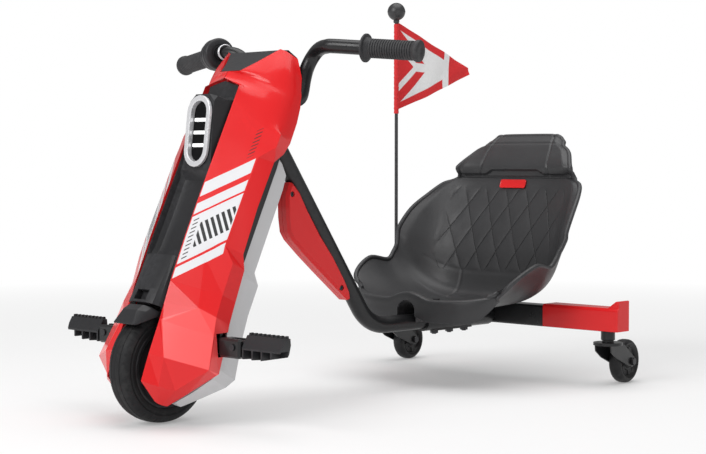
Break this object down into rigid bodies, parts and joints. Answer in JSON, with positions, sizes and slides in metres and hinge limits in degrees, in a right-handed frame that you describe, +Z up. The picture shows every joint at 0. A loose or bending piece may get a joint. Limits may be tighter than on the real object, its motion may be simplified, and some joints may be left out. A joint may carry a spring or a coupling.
{
  "type": "electric drift kart",
  "caption": "Ride-on electric drift kart with a steered, driven front wheel under a raked bodywork column, bent main tube, bucket seat and swivel casters at the back.",
  "frame": {"origin": "centre of the bounding box at floor level, with the flag included", "axes": "+Z up, -Y the way the kart drives, +X to the rider's left"},
  "size_m": [0.5672, 1.0764, 0.681],
  "materials": {
    "tyre": "matte black tread rubber",
    "motor_shell": "black painted die casting",
    "zinc_steel": "zinc plated",
    "black_steel": "satin black powder coat",
    "red_plastic": "glossy red moulding",
    "grey_plastic": "satin light grey moulding",
    "black_plastic": "fine textured black moulding",
    "silver_ring": "satin silver plating",
    "lamp_black": "gloss black mask",
    "light_white": "milky white light guide",
    "grip_rubber": "ribbed soft rubber",
    "caster_tyre": "smooth hard tyre on a moulded rim",
    "seat_plastic": "grained black seat moulding",
    "flag_fabric": "thin woven flag cloth",
    "flag_rod": "black glass fibre rod",
    "ball_plastic": "black ball"
  },
  "bodies": {
    "frame": {"head_tube": "black_steel", "head_bearing_lower": "zinc_steel", "head_bearing_upper": "zinc_steel", "main_tube": "black_steel", "frame_panel_left": "red_plastic", "frame_panel_right": "red_plastic", "clamp_bolt_rear": "zinc_steel", "clamp_bolt_middle": "zinc_steel", "clamp_bolt_front": "zinc_steel", "rear_sleeve": "black_steel", "crossbeam": "black_steel", "end_cover_left": "red_plastic", "end_cover_right": "red_plastic", "flag_pole": "flag_rod", "flag_ball": "ball_plastic", "flag_sleeve": "flag_fabric", "flag_cloth": "flag_fabric", "seat_bolt_left": "zinc_steel", "seat_bolt_right": "zinc_steel", "seat_shell": "seat_plastic", "seat_carrier": "black_steel", "headrest_badge": "red_plastic"},
    "steering": {"fork": "black_steel", "front_axle": "zinc_steel", "axle_nut_left": "zinc_steel", "axle_nut_right": "zinc_steel", "body_panel_left": "red_plastic", "body_panel_right": "red_plastic", "rear_shell_left": "grey_plastic", "rear_shell_right": "grey_plastic", "inner_frame_left": "black_plastic", "inner_frame_right": "black_plastic", "spine_cover": "black_plastic", "mudguard": "black_plastic", "lamp_ring": "silver_ring", "lamp_mask": "lamp_black", "light_guide": "light_white", "dash_cover": "black_plastic", "battery_pack": "black_plastic", "motor_controller": "motor_shell", "handlebar": "black_steel", "bar_clamp": "black_steel", "grip_left": "grip_rubber", "throttle_housing": "black_plastic", "peg_bracket_left": "black_steel", "peg_bracket_right": "black_steel", "peg_pin_left": "zinc_steel", "peg_pin_right": "zinc_steel"},
    "front_wheel": {"front_tyre": "tyre", "hub_motor": "motor_shell"},
    "throttle": {"throttle_grip": "grip_rubber"},
    "button": {"power_button": "red_plastic"},
    "left_peg": {"peg_left": "black_plastic"},
    "right_peg": {"peg_right": "black_plastic"},
    "left_caster": {"caster_fork_left": "black_steel", "caster_bolt_left": "zinc_steel"},
    "right_caster": {"caster_fork_right": "black_steel", "caster_bolt_right": "zinc_steel"},
    "left_caster_roller": {"caster_wheel_left": "caster_tyre"},
    "right_caster_roller": {"caster_wheel_right": "caster_tyre"}
  },
  "joints": [
    {"name": "steering", "type": "hinge", "parent": "frame", "child": "steering", "pos_m": [0, -0.26993, 0.46359], "axis": [0, 0.4384, 0.8988], "range_deg": [-45, 45]},
    {"name": "front_wheel_roll", "type": "hinge", "parent": "steering", "child": "front_wheel", "pos_m": [0, -0.4558, 0.0825], "axis": [1, 0, 0], "continuous": true},
    {"name": "throttle_twist", "type": "hinge", "parent": "steering", "child": "throttle", "pos_m": [-0.1579, -0.2119, 0.55144], "axis": [-0.9548, 0.2852, -0.0836], "range_deg": [0, 60], "stiffness_Nm_per_rad": 0.2, "springref_deg": -17.19},
    {"name": "power_press", "type": "slide", "parent": "steering", "child": "button", "axis": [0, -0.477, -0.8789], "range_m": [0, 0.0015], "stiffness_N_per_m": 300, "springref_m": -0.002},
    {"name": "left_peg_fold", "type": "hinge", "parent": "steering", "child": "left_peg", "pos_m": [0.1465, -0.4318, 0.12], "axis": [0, -1, 0], "range_deg": [0, 90]},
    {"name": "right_peg_fold", "type": "hinge", "parent": "steering", "child": "right_peg", "pos_m": [-0.1465, -0.4318, 0.12], "axis": [0, 1, 0], "range_deg": [0, 90]},
    {"name": "left_caster_swivel", "type": "hinge", "parent": "frame", "child": "left_caster", "pos_m": [0.25, 0.3182, 0.06], "axis": [0, 0, 1], "continuous": true},
    {"name": "right_caster_swivel", "type": "hinge", "parent": "frame", "child": "right_caster", "pos_m": [-0.25, 0.3182, 0.06], "axis": [0, 0, 1], "continuous": true},
    {"name": "left_caster_roll", "type": "hinge", "parent": "left_caster", "child": "left_caster_roller", "pos_m": [0.24404, 0.37489, 0.0375], "axis": [0.9945, 0.1045, 0], "continuous": true},
    {"name": "right_caster_roll", "type": "hinge", "parent": "right_caster", "child": "right_caster_roller", "pos_m": [-0.25596, 0.37489, 0.0375], "axis": [0.9945, 0.1045, 0], "continuous": true}
  ]
}
